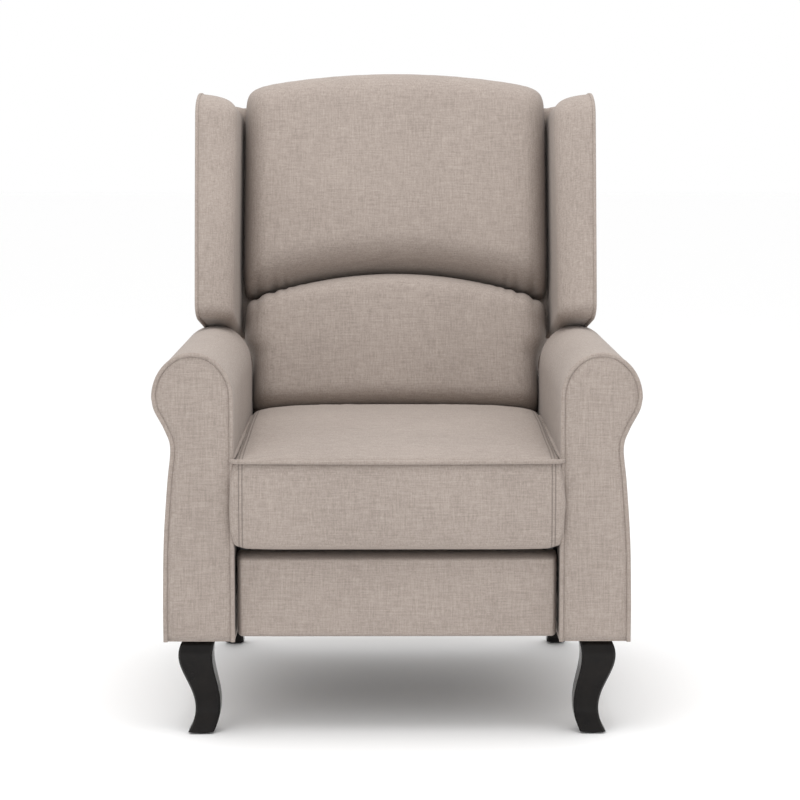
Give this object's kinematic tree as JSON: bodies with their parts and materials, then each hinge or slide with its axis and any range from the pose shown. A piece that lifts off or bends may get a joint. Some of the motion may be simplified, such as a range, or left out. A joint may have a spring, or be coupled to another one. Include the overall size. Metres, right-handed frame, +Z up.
{
  "type": "wingback recliner",
  "caption": "A push-back wingback recliner in beige woven fabric with rolled arms, piped panels, a hidden footrest and black curved legs.",
  "frame": {"origin": "on the floor, under the middle of the chair's outline", "axes": "+Z up, +Y towards the rear, +X to the right as seen from the front"},
  "size_m": [0.7166, 0.772, 0.9963],
  "materials": {
    "fabric": "matt slub linen-look weave in warm grey beige",
    "frame_wood": "raw sawn softwood and birch plywood",
    "lacquer": "black gloss lacquer",
    "steel": "satin black enamel",
    "glide": "black moulded plastic",
    "webbing": "black elastic webbing"
  },
  "bodies": {
    "base": {"arm_left_front_panel": "fabric", "arm_left_upholstery": "fabric", "arm_left_front_post": "frame_wood", "arm_left_side_panel": "frame_wood", "arm_left_top_rail": "frame_wood", "arm_left_bottom_rail": "frame_wood", "front_leg_left": "lacquer", "rear_leg_left": "lacquer", "base_plate_left": "steel", "arm_right_front_panel": "fabric", "arm_right_upholstery": "fabric", "arm_right_front_post": "frame_wood", "arm_right_side_panel": "frame_wood", "arm_right_top_rail": "frame_wood", "arm_right_bottom_rail": "frame_wood", "front_leg_right": "lacquer", "rear_leg_right": "lacquer", "base_plate_right": "steel", "leg_mount_plates": "steel", "leg_bolts": "steel", "front_cross_rail": "steel", "rear_cross_rail": "steel", "base_pins": "steel", "leg_glides": "glide", "base_rear_panel": "fabric"},
    "front_swing": {"front_swing_links": "steel"},
    "rear_swing": {"rear_swing_links": "steel", "swing_torque_tube": "steel"},
    "seat": {"seat_plate_left": "steel", "seat_side_rail_left": "frame_wood", "seat_plate_right": "steel", "seat_side_rail_right": "frame_wood", "seat_front_rail": "frame_wood", "seat_rear_rail": "frame_wood", "seat_webbing": "webbing", "seat_cushion": "fabric", "seat_pins": "steel"},
    "back": {"back_upright_left": "frame_wood", "wing_frame_left": "frame_wood", "back_bracket_left": "steel", "wing_pad_left": "fabric", "back_upright_right": "frame_wood", "wing_frame_right": "frame_wood", "back_bracket_right": "steel", "wing_pad_right": "fabric", "back_top_rail": "frame_wood", "back_bottom_rail": "frame_wood", "back_webbing": "webbing", "lumbar_cushion": "fabric", "upper_back_cushion": "fabric", "outer_back_panel": "fabric"},
    "drive_links": {"footrest_drive_links": "steel"},
    "front_links": {"footrest_front_links": "steel", "front_link_pins": "steel"},
    "parallel_links": {"footrest_parallel_links": "steel"},
    "tilt_links": {"footrest_tilt_links": "steel", "tilt_link_pins": "steel"},
    "footrest": {"footrest_brackets": "steel", "footrest_board": "frame_wood", "footrest_pad": "fabric"}
  },
  "joints": [
    {"name": "front_swing_turn", "type": "hinge", "parent": "base", "child": "front_swing", "pos_m": [0, -0.174, 0.18072], "axis": [1, 0, 0], "range_deg": [0, 50]},
    {"name": "rear_swing_turn", "type": "hinge", "parent": "base", "child": "rear_swing", "pos_m": [0, 0.09, 0.18072], "axis": [1, 0, 0], "range_deg": [0, 50]},
    {"name": "seat_carry", "type": "hinge", "parent": "front_swing", "child": "seat", "pos_m": [0, -0.134, 0.25], "axis": [-1, 0, 0], "range_deg": [0, 50]},
    {"name": "back_recline", "type": "hinge", "parent": "seat", "child": "back", "pos_m": [0, 0.195, 0.392], "axis": [-1, 0, 0], "range_deg": [0, 36]},
    {"name": "drive_link_turn", "type": "hinge", "parent": "seat", "child": "drive_links", "pos_m": [0, -0.22, 0.246], "axis": [-1, 0, 0], "range_deg": [0, 158]},
    {"name": "front_link_turn", "type": "hinge", "parent": "drive_links", "child": "front_links", "pos_m": [0, -0.08092, 0.18981], "axis": [1, 0, 0], "range_deg": [0, 158]},
    {"name": "parallel_link_turn", "type": "hinge", "parent": "seat", "child": "parallel_links", "pos_m": [0, -0.29293, 0.26351], "axis": [-1, 0, 0], "range_deg": [0, 158]},
    {"name": "footrest_tilt", "type": "hinge", "parent": "front_links", "child": "footrest", "pos_m": [0, -0.29, 0.24], "axis": [-1, 0, 0], "range_deg": [0, 94.6]},
    {"name": "tilt_link_turn", "type": "hinge", "parent": "parallel_links", "child": "tilt_links", "pos_m": [0, -0.14523, 0.19321], "axis": [1, 0, 0], "range_deg": [0, 152.64]}
  ],
  "couplings": [
    {"joint": "front_swing_turn", "follows": "back_recline", "ratio": 1.3889},
    {"joint": "rear_swing_turn", "follows": "back_recline", "ratio": 1.3889},
    {"joint": "seat_carry", "follows": "back_recline", "ratio": 1.3889},
    {"joint": "drive_link_turn", "follows": "back_recline", "ratio": 4.3889},
    {"joint": "front_link_turn", "follows": "back_recline", "ratio": 4.3889},
    {"joint": "parallel_link_turn", "follows": "back_recline", "ratio": 4.3889},
    {"joint": "footrest_tilt", "follows": "back_recline", "ratio": 2.6278},
    {"joint": "tilt_link_turn", "follows": "back_recline", "ratio": 4.24}
  ]
}
